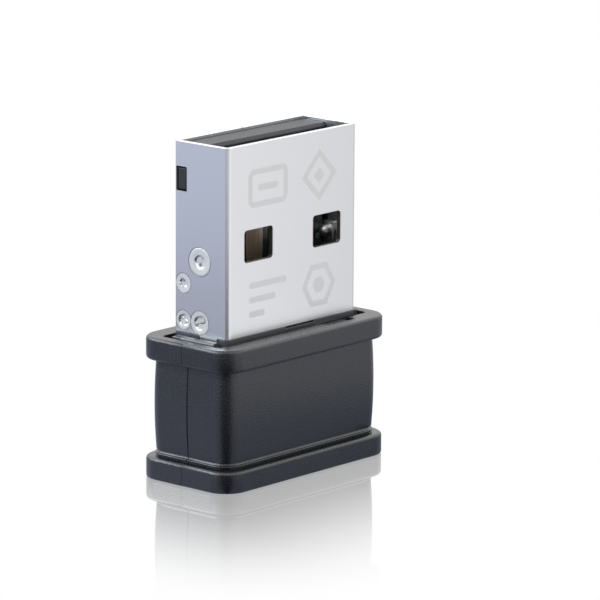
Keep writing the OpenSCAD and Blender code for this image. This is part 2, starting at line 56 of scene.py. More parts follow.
FRONT_HIGH = box_mm("front_housing")[1]
BACK_HIGH = box_mm("back_housing")[1]
SHELL_LOW, SHELL_HIGH = box_mm("plug_shell")
FRAME_LOW = box_mm("ground_frame")[0]
BOARD_LOW, BOARD_HIGH = box_mm("circuit_board")
PIPE_LOW, PIPE_HIGH = box_mm("light_pipe")
VBUS_LOW, VBUS_HIGH = box_mm("contact_vbus")
DATA_LOW = box_mm("contact_data_minus")[0]
COLLAR_LOW, COLLAR_HIGH = box_mm("plug_collar")

# Grip
HALF_W = FRONT_HIGH.x
HALF_D = BACK_HIGH.y
GRIP_H = BACK_HIGH.z
FOOT_FLANGE_T = 1.38
TOP_FLANGE_T = 1.45
FLANGE_R = 1.55
FLANGE_EDGE = 0.22
FOOT_EDGE = 0.14
WAIST_INSET = 0.5
WAIST_R = 1.1
BOW_R = 36.0
APEX_Z = 4.7
LIP_INSET = 0.46
LIP_H = 0.12
LIP_CURVE = 0.18
GROOVE_H = 0.12
GROOVE_DEPTH = 0.2
GRIP_WALL = 0.9
GRIP_END_WALL = 0.8
FLOOR_T = 1.2
CAVITY_R = 0.6

# Plug
PLUG_HW = SHELL_HIGH.x
PLUG_HD = SHELL_HIGH.y
TIP_Z = SHELL_HIGH.z
FOOT_Z = FRAME_LOW.z
SHEET = 0.3
BEND_R = 0.35
SEAM_GAP = 0.06
DOVETAIL_H = 2.6
DOVETAIL_REACH = 0.9
DOVETAIL_FLARE = 0.35
WINDOW_W = 2.55
WINDOW_H = 1.97
WINDOW_R = 0.2
WINDOW_PITCH = 6.34
WINDOW_FROM_TIP = 5.35
SLOT_H = 1.5
SLOT_W = 0.85
SLOT_FROM_TIP = 1.6
SLOT_FROM_BACK = 0.25
LEG_W = 1.45
BOARD_Y = BOARD_LOW.y

# Mouth of the grip
FIT = 0.05
MOUTH_HW = PLUG_HW + 0.9
MOUTH_HD = PLUG_HD + 0.2
MOUTH_R = 0.4
TRAP_HW = COLLAR_HIGH.x + FIT
TRAP_HD = PLUG_HD + 0.55
TRAP_TOP_Z = COLLAR_LOW.z + 0.75
TRAP_LOW_Z = COLLAR_LOW.z - FIT
NOTCH_LEFT = PIPE_LOW.x - FIT
NOTCH_RIGHT = PIPE_HIGH.x + FIT
NOTCH_Y = PIPE_LOW.y - FIT
NOTCH_Z = PIPE_HIGH.z - 0.95

# Welds: distance from the board's front plane, height above the shell's foot, radius, and the
# share of that radius which the crater takes
WELDS = [
    (0.0, 4.6, 0.9, 0.48),
    (1.36, 3.1, 0.615, 0.5),
    (1.36, 0.78, 0.6, 0.66),
    (0.0, 0.78, 0.735, 0.62),
]


# -------------------------------------------------------------- outlines

def quarter(steps=4):
    """The angles of a quarter turn, in radians."""
    return [math.radians(90) * i / steps for i in range(steps + 1)]


def arc(centre, radius, start, end, steps):
    """Points on an arc round centre, from one angle to another, in degrees."""
    angles = [math.radians(start + (end - start) * i / steps) for i in range(steps + 1)]
    return [(centre[0] + radius * math.cos(a), centre[1] + radius * math.sin(a)) for a in angles]


def rounded_rect(x0, y0, x1, y1, r, steps=6):
    """A rectangle with round corners, anticlockwise."""
    return (arc((x1 - r, y0 + r), r, -90, 0, steps) + arc((x1 - r, y1 - r), r, 0, 90, steps)
            + arc((x0 + r, y1 - r), r, 90, 180, steps) + arc((x0 + r, y0 + r), r, 180, 270, steps))


def regular(centre, radius, sides, turn=0.0):
    """A regular polygon, anticlockwise."""
    return arc(centre, radius, turn, turn + 360 * (sides - 1) / sides, sides - 1)


def inset(loop, distance):
    """Moves an outline towards the left of its direction, with mitred corners."""
    moved, least_turn = [], 0.2
    for i, point in enumerate(loop):
        before = Vector(point) - Vector(loop[i - 1])
        after = Vector(loop[(i + 1) % len(loop)]) - Vector(point)
        n1 = Vector((-before.y, before.x)).normalized()
        n2 = Vector((-after.y, after.x)).normalized()
        shift = (n1 + n2) * (distance / max(least_turn, 1 + n1.dot(n2)))
        moved.append((point[0] + shift.x, point[1] + shift.y))
    return moved


def plate(loops, low, high, edge, steps=3):
    """A flat piece from low to high with quarter-round edges.
    loops holds the outline, anticlockwise, and then its holes, clockwise."""
    levels = [(low + edge * (1 - math.cos(a)), edge * (1 - math.sin(a))) for a in quarter(steps)]
    levels += [(low + high - height, away) for height, away in reversed(levels)]
    verts, faces, rings = [], [], []
    for height, away in levels:
        rings.append(len(verts))
        for loop in loops:
            verts += [(x, y, height) for x, y in inset(loop, away)]
    for lower, upper in zip(rings, rings[1:]):
        start = 0
        for loop in loops:
            n = len(loop)
            for i in range(n):
                a, b = start + i, start + (i + 1) % n
                faces.append((lower + a, lower + b, upper + b, upper + a))
            start += n
    for ring, flip in ((rings[0], True), (rings[-1], False)):
        polygons, at = [], ring
        for loop in loops:
            polygons.append([Vector(v) for v in verts[at:at + len(loop)]])
            at += len(loop)
        for triangle in tessellate_polygon(polygons):
            face = tuple(ring + i for i in triangle)
            faces.append(face[::-1] if flip else face)
    return verts, faces


# ---------------------------------------------------------------- pieces

def finish_normals(obj, sharp=38):
    """Smooth faces with crisp edges where they meet at more than sharp, in degrees."""
    mesh = obj.data
    bm = bmesh.new()
    bm.from_mesh(mesh)
    bmesh.ops.recalc_face_normals(bm, faces=bm.faces)
    for face in bm.faces:
        face.smooth = True
    for bm_edge in bm.edges:
        if len(bm_edge.link_faces) == 2 and bm_edge.calc_face_angle(0) > math.radians(sharp):
            bm_edge.smooth = False
    bm.to_mesh(mesh)
    bm.free()
    weighted = obj.modifiers.new("weighted normals", "WEIGHTED_NORMAL")
    weighted.keep_sharp = True
    weighted.weight = 90


def add_piece(name, verts, faces, materials, replaces=(), sharp=38, face_material=None, skin=None):
    """Makes an object from millimetre points, and sets it in the frame."""
    mesh = bpy.data.meshes.new(name)
    mesh.from_pydata([tuple(c * MM for c in v) for v in verts], [], faces)
    for material in materials:
        mesh.materials.append(material)
    if face_material:
        for polygon, index in zip(mesh.polygons, face_material):
            polygon.material_index = index
    obj = bpy.data.objects.new(name, mesh)
    bpy.context.scene.collection.objects.link(obj)
    if skin:
        set_skin_normals(mesh, skin)
    else:
        finish_normals(obj, sharp)
    settle(obj, replaces)


def set_skin_normals(mesh, skin):
    """Gives a bent sheet's skins their exact normals. skin holds each point's normal, or None
    where the point is on no skin; a face whose points all have one is part of a skin."""
    bm = bmesh.new()
    bm.from_mesh(mesh)
    bmesh.ops.recalc_face_normals(bm, faces=bm.faces)
    bm.to_mesh(mesh)
    bm.free()
    normals = []
    for polygon in mesh.polygons:
        known = [skin[i] for i in polygon.vertices]
        on_skin = all(known) and all(n.dot(polygon.normal) > 0.8 for n in known)
        normals += known if on_skin else [polygon.normal.copy()] * len(known)
    mesh.polygons.foreach_set("use_smooth", [True] * len(mesh.polygons))
    mesh.normals_split_custom_set(normals)


def settle(obj, replaces=()):
    """Sets a piece on the one body, and hides the CAD nodes that it stands for."""
    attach(obj, "root")
    if replaces:
        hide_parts(*replaces)


def join(parts):
    """Several lists of points and faces as one."""
    verts, faces = [], []
    for more_verts, more_faces in parts:
        start = len(verts)
        verts += more_verts
        faces += [tuple(start + i for i in face) for face in more_faces]
    return verts, faces


def soften(node, name, width, material):
    """A CAD node's shape with small rounds along its edges, which stands for the node."""
    same_point, flat_angle, edge_angle = 0.0002, math.radians(1), math.radians(40)
    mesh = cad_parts[node].data.copy()
    mesh.name = name
    bm = bmesh.new()
    bm.from_mesh(mesh)
    bmesh.ops.remove_doubles(bm, verts=bm.verts, dist=same_point * MM)
    bmesh.ops.dissolve_limit(bm, angle_limit=flat_angle, verts=bm.verts, edges=bm.edges)
    bm.to_mesh(mesh)
    bm.free()
    mesh.materials.clear()
    mesh.materials.append(material)
    obj = bpy.data.objects.new(name, mesh)
    bpy.context.scene.collection.objects.link(obj)
    bevel = obj.modifiers.new("soft edges", "BEVEL")
    bevel.width = width * MM
    bevel.segments = 2
    bevel.limit_method = "ANGLE"
    bevel.angle_limit = edge_angle
    finish_normals(obj, 30)
    settle(obj, [node])


# ----------------------------------------------------------------- nodes

class Graph:
    """Short calls for a node tree."""

    def __init__(self, tree):
        self.tree = tree

    def node(self, kind, **settings):
        made = self.tree.nodes.new(kind)
        for key, value in settings.items():
            setattr(made, key, value)
        return made

    def feed(self, socket, value):
        """Links a socket to value where that is another node's socket, and else sets it."""
        if isinstance(value, bpy.types.NodeSocket):
            self.tree.links.new(value, socket)
        else:
            socket.default_value = value

    def math(self, operation, *values):
        made = self.node("ShaderNodeMath", operation=operation)
        for socket, value in zip(made.inputs, values):
            self.feed(socket, value)
        return made.outputs[0]

    def total(self, value, *more):
        for another in more:
            value = self.math("ADD", value, another)
        return value

    def product(self, a, b):
        return self.math("MULTIPLY", a, b)

    def rest(self, value):
        """What is left of 1."""
        return self.math("SUBTRACT", 1.0, value)

    def vector(self, operation, *values):
        made = self.node("ShaderNodeVectorMath", operation=operation)
        for socket, value in zip(made.inputs, values):
            self.feed(socket, value)
        return made.outputs["Value" if operation in ("DOT_PRODUCT", "LENGTH") else "Vector"]

    def ramp(self, value, low, high, to_low=0.0, to_high=1.0, interpolation_type="SMOOTHSTEP"):
        """Goes from to_low to to_high while value goes from low to high, and stays there past them."""
        made = self.node("ShaderNodeMapRange", interpolation_type=interpolation_type)
        for name, number in (("Value", value), ("From Min", low), ("From Max", high),
                             ("To Min", to_low), ("To Max", to_high)):
            self.feed(made.inputs[name], number)
        return made.outputs["Result"]

    def mix(self, factor, a, b):
        made = self.node("ShaderNodeMix", data_type="RGBA")
        self.feed(made.inputs[0], factor)
        self.feed(made.inputs[6], a)
        self.feed(made.inputs[7], b)
        return made.outputs[2]

    def mix_shaders(self, factor, a, b):
        made = self.node("ShaderNodeMixShader")
        for socket, value in zip(made.inputs, (factor, a, b)):
            self.feed(socket, value)
        return made.outputs[0]


# ------------------------------------------------------------- materials

# The part of a noise's range that a colour or a roughness follows
NOISE_LOW, NOISE_HIGH = 0.3, 0.7


class Shader(Graph):
    """A node material on a Principled shader, in object coordinates."""

    def __init__(self, name, base, rough, metal=0.0, **sockets):
        self.material = bpy.data.materials.new(name)
        self.material.use_nodes = True
        super().__init__(self.material.node_tree)
        self.shader = self.tree.nodes["Principled BSDF"]
        self.shader.inputs["Base Color"].default_value = (*base, 1)
        self.shader.inputs["Roughness"].default_value = rough
        self.shader.inputs["Metallic"].default_value = metal
        for socket, value in sockets.items():
            self.shader.inputs[socket.replace("_", " ")].default_value = value
        self.coords = self.node("ShaderNodeTexCoord").outputs["Object"]

    def noise(self, scale, detail=3.0, stretch=(1, 1, 1)):
        """A noise with scale cycles to the metre, times stretch along each axis."""
        mapping = self.node("ShaderNodeMapping")
        self.feed(mapping.inputs["Scale"], stretch)
        self.feed(mapping.inputs["Vector"], self.coords)
        texture = self.node("ShaderNodeTexNoise")
        for socket, value in (("Scale", scale), ("Detail", detail), ("Roughness", 0.55),
                              ("Vector", mapping.outputs["Vector"])):
            self.feed(texture.inputs[socket], value)
        return texture.outputs["Fac"]

    def colour(self, value, low, high):
        """Base colour between two colours, by a noise."""
        ramp = self.node("ShaderNodeValToRGB")
        for element, place, shade in zip(ramp.color_ramp.elements, (NOISE_LOW, NOISE_HIGH), (low, high)):
            element.position = place
            element.color = (*shade, 1)
        self.feed(ramp.inputs["Fac"], value)
        self.feed(self.shader.inputs["Base Color"], ramp.outputs["Color"])

    def roughness(self, value, low, high):
        self.feed(self.shader.inputs["Roughness"],
                  self.ramp(value, NOISE_LOW, NOISE_HIGH, low, high, interpolation_type="LINEAR"))

    def bump(self, value, depth):
        """Relief whose full height is depth, in millimetres."""
        bump = self.node("ShaderNodeBump")
        for socket, setting in (("Strength", 1.0), ("Distance", depth * MM), ("Height", value)):
            self.feed(bump.inputs[socket], setting)
        self.feed(self.shader.inputs["Normal"], bump.outputs["Normal"])


def scaled(base, factor):
    return tuple(min(1.0, c * factor) for c in base)


def moulded(name, base, rough, grain=9000.0, depth=0.012, gleam=0.72):
    """Black plastic with the fine pebble of a spark-eroded mould."""
    made = Shader(name, base, rough, Specular_IOR_Level=gleam)
    pebble = made.noise(grain, detail=4)
    patches = made.noise(700.0, detail=2)
    made.colour(patches, scaled(base, 0.88), scaled(base, 1.14))
    made.roughness(pebble, rough - 0.05, rough + 0.07)
    made.bump(pebble, depth)
    return made.material


def plated(name, base, rough, grain=16000.0, depth=0.002, metal=1.0):
    """Plated sheet: a satin skin with a fine random grain and a faint rolling direction."""
    made = Shader(name, base, rough, metal=metal)
    speckle = made.noise(grain, detail=3)
    rolled = made.noise(3000.0, detail=4, stretch=(1, 1, 0.06))
    made.colour(speckle, scaled(base, 0.965), scaled(base, 1.035))
    made.roughness(rolled, rough - 0.012, rough + 0.012)
    made.bump(speckle, depth)
    return made.material


def fired(name, base, rough=0.5, grain=6000.0):
    """Ceramic or epoxy of a small component, with a fine sandy skin."""
    made = Shader(name, base, rough)
    skin = made.noise(grain, detail=4)
    made.colour(skin, scaled(base, 0.8), scaled(base, 1.2))
    made.roughness(made.noise(1500.0), rough - 0.06, rough + 0.08)
    made.bump(skin, 0.004)
    return made.material


def smoky(name, base, rough):
    """Tinted clear resin."""
    made = Shader(name, base, rough, Transmission_Weight=0.12, IOR=1.49)
    swirl = made.noise(900.0, detail=2)
    made.colour(swirl, scaled(base, 0.85), scaled(base, 1.15))
    made.roughness(made.noise(5000.0), rough - 0.04, rough + 0.06)
    made.bump(swirl, 0.01)
    return made.material


def gold_flash(name, base, rough):
    """Gold over nickel, with the fine draw marks of a wiped contact."""
    made = Shader(name, base, rough, metal=1.0)
    drawn = made.noise(5200.0, detail=4, stretch=(1, 1, 0.05))
    made.colour(drawn, scaled(base, 0.8), scaled(base, 1.1))
    made.roughness(drawn, rough - 0.05, rough + 0.1)
    made.bump(drawn, 0.002)
    return made.material


def laminate(name, base, rough):
    """Solder mask over glass cloth."""
    made = Shader(name, base, rough, Coat_Weight=0.3, Coat_Roughness=0.15)
    weave = made.node("ShaderNodeTexWave", wave_type="BANDS", bands_direction="DIAGONAL")
    weave.inputs["Scale"].default_value = 900.0
    weave.inputs["Distortion"].default_value = 1.5
    made.feed(weave.inputs["Vector"], made.coords)
    made.colour(made.noise(1800.0), scaled(base, 0.75), scaled(base, 1.3))
    made.roughness(made.noise(4000.0), rough - 0.05, rough + 0.08)
    made.bump(weave.outputs["Fac"], 0.003)
    return made.material


GRIP_BLACK = moulded("grip plastic", (0.0056, 0.0066, 0.0095), 0.28, depth=0.021)
COLLAR_BLACK = moulded("collar plastic", (0.045, 0.046, 0.05), 0.34, grain=7000.0, depth=0.01)
CARRIER_BLACK = moulded("carrier plastic", (0.02, 0.021, 0.024), 0.42, grain=7000.0, depth=0.008,
                        gleam=0.35)
SHELL_STEEL = plated("shell steel", (0.80, 0.805, 0.815), 0.26)
# Edges of the punched openings: dull bare steel, with painted shade in a colour darker than bare steel
# would be
CUT_STEEL_PAINTED_SHADE = plated("cut edge with painted shade", (0.20, 0.195, 0.19), 0.45)
FRAME_STEEL = plated("frame steel", (0.72, 0.73, 0.75), 0.3)
WELD_RING_STEEL = plated("weld ring", (0.53, 0.53, 0.52), 0.5, grain=9000.0, depth=0.004,
                         metal=0.2)
WELD_CRATER = plated("weld crater", (0.62, 0.62, 0.62), 0.06, grain=5000.0, depth=0.004)
ETCHED = plated("etched mark", (0.70, 0.695, 0.685), 0.42, grain=12000.0, depth=0.006)
GOLD = gold_flash("contact gold", (0.80, 0.68, 0.54), 0.34)
BOARD_GREEN = laminate("board laminate", (0.014, 0.030, 0.024), 0.3)
TRACK_GREEN = laminate("masked copper", (0.12, 0.26, 0.23), 0.25)
SOLDER = plated("solder", (0.48, 0.47, 0.46), 0.36, grain=4000.0, depth=0.01)
PIPE_RESIN = smoky("pipe resin", (0.085, 0.084, 0.086), 0.3)
CHIP_EPOXY = fired("chip epoxy", (0.02, 0.02, 0.022), 0.55)
FERRITE = fired("ferrite", (0.045, 0.045, 0.05), 0.5)
FILTER_CERAMIC = fired("filter ceramic", (0.36, 0.30, 0.25), 0.5)
ANTENNA_CERAMIC = fired("antenna ceramic", (0.74, 0.72, 0.64), 0.45)
CAPACITOR_CERAMIC = fired("capacitor ceramic", (0.42, 0.29, 0.17), 0.45)
RESISTOR_GLAZE = fired("resistor glaze", (0.02, 0.02, 0.022), 0.3)
LED_RESIN = fired("led resin", (0.78, 0.76, 0.62), 0.35)
CRYSTAL_CAN = plated("crystal can", (0.74, 0.72, 0.66), 0.3)


# ------------------------------------------------------------------ grip

def bow(z):
    """How far the waist's sides have drawn in at a height."""
    return BOW_R - math.sqrt(BOW_R ** 2 - (z - APEX_Z) ** 2)


class Station:
    """A rounded rectangle at one height of the grip."""

    def __init__(self, half_w, half_d, r, z, away, seam, notch=False):
        self.half_w = half_w - away
        self.half_d = half_d - away
        self.r = max(0.05, r - away)
        self.z = z
        self.seam = seam
        self.notch = notch


def opening_edge(shape, z, edge, seam):
    """Stations up a quarter round, from a plate's lower face out to its full size."""
    return [Station(*shape, z + edge * (1 - math.cos(a)), edge * (1 - math.sin(a)), seam)
            for a in quarter()]


def closing_edge(shape, z, edge, seam):
    """Stations up a quarter round, from a plate's full size in to its upper face at z."""
    return [Station(*shape, z - edge * (1 - math.sin(a)), edge * (1 - math.cos(a)), seam)
            for a in quarter()]


def outer_stations():
    """The grip's outer skin, from its foot up to its top face."""
    flange = (HALF_W, HALF_D, FLANGE_R)
    waist = (HALF_W - WAIST_INSET, HALF_D - WAIST_INSET, WAIST_R)
    lip = (HALF_W - LIP_INSET, HALF_D - LIP_INSET, FLANGE_R - LIP_INSET / 2)
    lip_edge, fillet, bow_steps = 0.05, 0.14, 12
    flange_seam, waist_seam = 0.018, 0.05
    top_z, lip_z = GRIP_H - TOP_FLANGE_T, FOOT_FLANGE_T + GROOVE_H
    made = opening_edge(flange, 0, FOOT_EDGE, flange_seam)
    made += closing_edge(flange, FOOT_FLANGE_T, FLANGE_EDGE, flange_seam)
    made += [Station(*lip, z, GROOVE_DEPTH, flange_seam) for z in (FOOT_FLANGE_T, lip_z)]
    made += opening_edge(lip, lip_z, lip_edge, waist_seam)
    made += closing_edge(lip, lip_z + LIP_H, lip_edge, waist_seam)
    curve_z = lip_z + LIP_H + LIP_CURVE
    for a in quarter(8)[1:-1]:
        inwards = lip_edge + (LIP_CURVE - lip_edge) * math.sin(a)
        made.append(Station(*lip, curve_z - LIP_CURVE * math.cos(a), inwards, waist_seam))
    bow_low, bow_high = curve_z, top_z - fillet
    made.append(Station(*waist, bow_low, bow(bow_low), waist_seam))
    for i in range(1, bow_steps + 1):
        z = bow_low + (bow_high - bow_low) * i / bow_steps
        made.append(Station(*waist, z, bow(z), waist_seam))
    for a in quarter()[1:]:
        z = top_z - fillet * (1 - math.sin(a))
        made.append(Station(*waist, z, bow(z) - fillet * (1 - math.cos(a)), waist_seam))
    made += opening_edge(flange, top_z, FLANGE_EDGE, flange_seam)
    made += closing_edge(flange, GRIP_H, FLANGE_EDGE, flange_seam)
    return made


def inner_stations():
    """The grip's mouth and hollow, from its top face down to the hollow's floor."""
    mouth = (MOUTH_HW, MOUTH_HD, MOUTH_R)
    trap = (TRAP_HW, TRAP_HD, MOUTH_R)
    cavity = (HALF_W - WAIST_INSET - GRIP_END_WALL, HALF_D - WAIST_INSET - GRIP_WALL, CAVITY_R)
    rim, seam = 0.07, -0.01
    made = [Station(*mouth, GRIP_H - rim * (1 - math.cos(a)), -rim * (1 - math.sin(a)), seam, True)
            for a in quarter(3)]
    made += [Station(*mouth, TRAP_TOP_Z, 0, seam, True), Station(*trap, TRAP_TOP_Z, 0, seam, True)]
    made += [Station(*trap, NOTCH_Z, 0, seam, True), Station(*trap, NOTCH_Z - 0.01, 0, seam)]
    made += [Station(*trap, TRAP_LOW_Z, 0, seam), Station(*cavity, TRAP_LOW_Z, 0, seam)]
    made += [Station(*cavity, FLOOR_T, 0, seam)]
    return made


def half_ring(station, side):
    """One half of a station's outline, from its +X end round to its -X end.
    side is -1 for the front half, which has the light pipe's notch, and 1 for the back."""
    hw, hd, r = station.half_w, station.half_d, station.r
    gap, corner_steps = 0.004, 8
    shoulder = gap + abs(station.seam)
    right = [(hw - station.seam, gap), (hw, shoulder)] + arc((hw - r, hd - r), r, 0, 90, corner_steps)
    left = [(-x, y) for x, y in reversed(right)]
    notch_y = -NOTCH_Y if station.notch and side < 0 else hd
    slant = 0.01
    notch = [(NOTCH_RIGHT, hd), (NOTCH_RIGHT - slant, notch_y), (NOTCH_LEFT + slant, notch_y),
             (NOTCH_LEFT, hd)]
    return [(x, side * y, station.z) for x, y in right + notch + left]


def housing_half(name, node, side):
    """One moulded half of the grip, with its parting line along y = 0."""
    stations = outer_stations() + inner_stations()
    rings = [half_ring(station, side) for station in stations]
    n = len(rings[0])
    verts = [v for ring in rings for v in ring]
    faces = []
    for k in range(len(rings) - 1):
        for i in range(n - 1):
            a, b = k * n + i, (k + 1) * n + i
            faces.append((a, a + 1, b + 1, b))
    faces.append(tuple(range(n)))
    faces.append(tuple((len(rings) - 1) * n + i for i in reversed(range(n))))
    right_ends = [k * n for k in range(len(rings))]
    left_ends = [k * n + n - 1 for k in range(len(rings))]
    seam_loop = right_ends + left_ends[::-1]
    flat = [Vector((verts[i][0], verts[i][2], 0)) for i in seam_loop]
    for triangle in tessellate_polygon([flat]):
        faces.append(tuple(seam_loop[i] for i in triangle))
    add_piece(name, verts, faces, [GRIP_BLACK], [node], sharp=40)


# ------------------------------------------------------------ plug shell

def developed_lengths():
    """Lengths of the flat stretches of the shell's outer face, walking from the back seam
    round the +X side, the front, the -X side and back to the seam; and a bend's length."""
    across = PLUG_HW - BEND_R
    side = 2 * (PLUG_HD - BEND_R)
    return [across, side, 2 * across, side, across], math.radians(90) * BEND_R


def folded(s, z, depth):
    """Where a point of the flat sheet goes, and the outward direction there: s is the distance
    along the walk, and depth runs in from the outer face."""
    flats, bend = developed_lengths()
    corner, direction = Vector((0, PLUG_HD)), Vector((1, 0))
    for i, length in enumerate(flats):
        inward = Vector((direction.y, -direction.x))
        if s <= length or i == len(flats) - 1:
            at = corner + direction * s + inward * depth
            return (at.x, at.y, z), -inward
        s -= length
        corner = corner + direction * length
        centre = corner + inward * BEND_R
        if s < bend:
            angle = s / BEND_R
            out = -inward * math.cos(angle) + direction * math.sin(angle)
            at = centre + out * (BEND_R - depth)
            return (at.x, at.y, z), out
        s -= bend
        corner = centre + direction * BEND_R
        direction = inward
    raise ValueError("past the end of the sheet")


def walk_of_side(side, y):
    """Distance along the walk of a place on a narrow side: side is 1 for +X, -1 for -X."""
    flats, bend = developed_lengths()
    if side > 0:
        return flats[0] + bend + (PLUG_HD - BEND_R) - y
    return flats[0] + flats[1] + flats[2] + 3 * bend + y + (PLUG_HD - BEND_R)


def walk_of_front(x):
    """Distance along the walk of a place on the front face."""
    flats, bend = developed_lengths()
    return flats[0] + flats[1] + 2 * bend + (PLUG_HW - BEND_R) - x


def sheet_outline(total):
    """The flat sheet's edge, anticlockwise: foot with its two solder legs, seam with the
    dovetail, tip, and the other side of the seam with the dovetail's pocket."""
    half = SEAM_GAP / 2
    middle = (FOOT_Z + TIP_Z) / 2
    tab_low, tab_high = middle - DOVETAIL_H / 2, middle + DOVETAIL_H / 2
    neck_low, neck_high = tab_low + DOVETAIL_FLARE, tab_high - DOVETAIL_FLARE
    leg_z, root, tip_chamfer = SHELL_LOW.z, 0.12, 0.15
    foot = [(half, FOOT_Z)]
    for side in (1, -1):
        ends = sorted((walk_of_side(side, BOARD_Y), walk_of_side(side, BOARD_Y - LEG_W)))
        foot += arc((ends[0] - root, FOOT_Z - root), root, 90, 0, 3)
        foot += [(ends[0], leg_z + tip_chamfer), (ends[0] + tip_chamfer, leg_z)]
        foot += [(ends[1] - tip_chamfer, leg_z), (ends[1], leg_z + tip_chamfer)]
        foot += arc((ends[1] + root, FOOT_Z - root), root, 180, 90, 3)
    tab_end = total + DOVETAIL_REACH
    far = [(total - half, FOOT_Z), (total - half, neck_low), (tab_end - half, tab_low + half),
           (tab_end - half, tab_high - half), (total - half, neck_high), (total - half, TIP_Z)]
    near = [(half, TIP_Z), (half, neck_high + half), (DOVETAIL_REACH + half, tab_high + half),
            (DOVETAIL_REACH + half, tab_low - half), (half, neck_low - half)]
    return foot + far + near


def plug_shell():
    """The folded sheet: windows, snap slots, weld holes, solder legs and dovetailed seam."""
    punched_edge, slot_r, bend_steps, on_face = 0.035, 0.06, 8, 1e-6
    flats, bend = developed_lengths()
    total = sum(flats) + 4 * bend
    window_z = TIP_Z - WINDOW_FROM_TIP - WINDOW_H / 2
    slot_y = PLUG_HD - SLOT_FROM_BACK - SLOT_W / 2
    slot_z = TIP_Z - SLOT_FROM_TIP - SLOT_H / 2

    def opening(s, z, width, height, r, steps=6):
        return rounded_rect(s - width / 2, z - height / 2, s + width / 2, z + height / 2, r, steps)

    middles = [walk_of_front(side * WINDOW_PITCH / 2) for side in (-1, 1)]
    middles += [WINDOW_PITCH / 2, total - WINDOW_PITCH / 2]
    holes = [opening(s, window_z, WINDOW_W, WINDOW_H, WINDOW_R) for s in middles]
    for side in (1, -1):
        holes.append(opening(walk_of_side(side, slot_y), slot_z, SLOT_W, SLOT_H, slot_r, 3))
        for y, z, r, _ in WELDS:
            holes.append(regular((walk_of_side(side, BOARD_Y + y), FOOT_Z + z), r, 48))
    verts, faces = plate([sheet_outline(total)] + [hole[::-1] for hole in holes], 0, SHEET, punched_edge)
    bm = bmesh.new()
    for v in verts:
        bm.verts.new(v)
    bm.verts.ensure_lookup_table()
    for face in faces:
        bm.faces.new([bm.verts[i] for i in face])
    cuts, start = [], 0.0
    for length in flats[:-1]:
        start += length
        cuts += [start + bend * i / bend_steps for i in range(bend_steps + 1)]
        start += bend
    for s in cuts:
        everything = bm.verts[:] + bm.edges[:] + bm.faces[:]
        bmesh.ops.bisect_plane(bm, geom=everything, dist=on_face, plane_co=(s, 0, 0), plane_no=(1, 0, 0))
    bm.verts.index_update()
    places, facings, skin = [], [], []
    for v in bm.verts:
        place, out = folded(*v.co)
        facing = 1 if v.co.z < on_face else -1 if v.co.z > SHEET - on_face else 0
        places.append(place)
        facings.append(facing)
        skin.append(Vector((out.x, out.y, 0)) * facing if facing else None)
    flat_faces = [tuple(v.index for v in face.verts) for face in bm.faces]
    bm.free()
    # the punched openings show the sheet's dull bare steel, coloured darker than bare steel as painted
    # shade so that these edges catch no highlight; the tip's edge is plated
    kinds = []
    for face in flat_faces:
        on_skin = {facings[i] for i in face} in ({1}, {-1})
        at_tip = max(places[i][2] for i in face) > TIP_Z - 0.1
        kinds.append(0 if on_skin or at_tip else 1)
    add_piece("plug_shell_folded", places, flat_faces, [SHELL_STEEL, CUT_STEEL_PAINTED_SHADE],
              ["plug_shell"], face_material=kinds, skin=skin)


# ----------------------------------------------------------------- welds

# A weld's ring, from its wall in the sheet to its brim: shares of the radius, and depths
RING_EDGE = [(1.0, 0.12), (1.0, 0.025), (0.985, 0.004)]
RING_TOP = 0.004
RING_DISH = 0.02
CRATER_SHARES = (0.93, 0.86, 0.76, 0.64, 0.5, 0.36, 0.22, 0.1)


def weld_bead(side, spot, number):
    """A remelted disc: a smooth raised ring round a crooked crater. Returns points, faces
    and the material of each face: 0 on the ring, 1 in the crater."""
    y, z, radius, share_open = spot
    crater, turns = radius * share_open, 48
    ring_profile = [(radius * share, depth) for share, depth in RING_EDGE]
    for t in (0.25, 0.5, 0.75, 1.0):
        ring_profile.append((radius + (crater - radius) * t, RING_TOP + RING_DISH * t ** 2))
    profile = ring_profile + [(crater * share, 0.0) for share in CRATER_SHARES]
    points, faces, kinds = [], [], []
    for k, (r, depth) in enumerate(profile):
        for i in range(turns):
            angle = 2 * math.pi * i / turns
            wander = 1.0
            if k >= len(ring_profile) - 2:
                wander = 1 + 0.07 * math.sin(2 * angle + number) + 0.05 * math.sin(3 * angle - 2 * number)
            u, v = r * wander * math.cos(angle), r * wander * math.sin(angle)
            sink = depth if k < len(ring_profile) else crater_depth(u / crater, v / crater, number)
            points.append((side * (PLUG_HW - sink), BOARD_Y + y - side * u, FOOT_Z + z + v))
    for k in range(len(profile) - 1):
        for i in range(turns):
            a, b = k * turns + i, k * turns + (i + 1) % turns
            faces.append((a, b, b + turns, a + turns))
            kinds.append(0 if k < len(ring_profile) - 1 else 1)
    last = (len(profile) - 1) * turns
    faces += [tuple(range(last, last + turns)), tuple(reversed(range(turns)))]
    kinds += [1, 0]
    return points, faces, kinds


def crater_depth(u, v, number):
    """Depth of the crater's floor: a steep wall, then two tilted facets that meet in a ridge.
    u and v are shares of the crater's radius, and number turns each crater another way."""
    brim, deepest, shallowest = 0.024, 0.22, 0.1
    r = min(1.0, math.hypot(u, v))
    turn = 2.4 * number + 0.6
    across = u * math.cos(turn) + v * math.sin(turn)
    along = -u * math.sin(turn) + v * math.cos(turn)
    wall = 1 - r ** 5
    facets = max(0.35 + 0.55 * across, 0.30 - 0.75 * across + 0.25 * along)
    ripple = 0.10 * math.sin(5.0 * along + number) * (1 - r)
    return brim + deepest * wall * max(shallowest, facets + ripple)


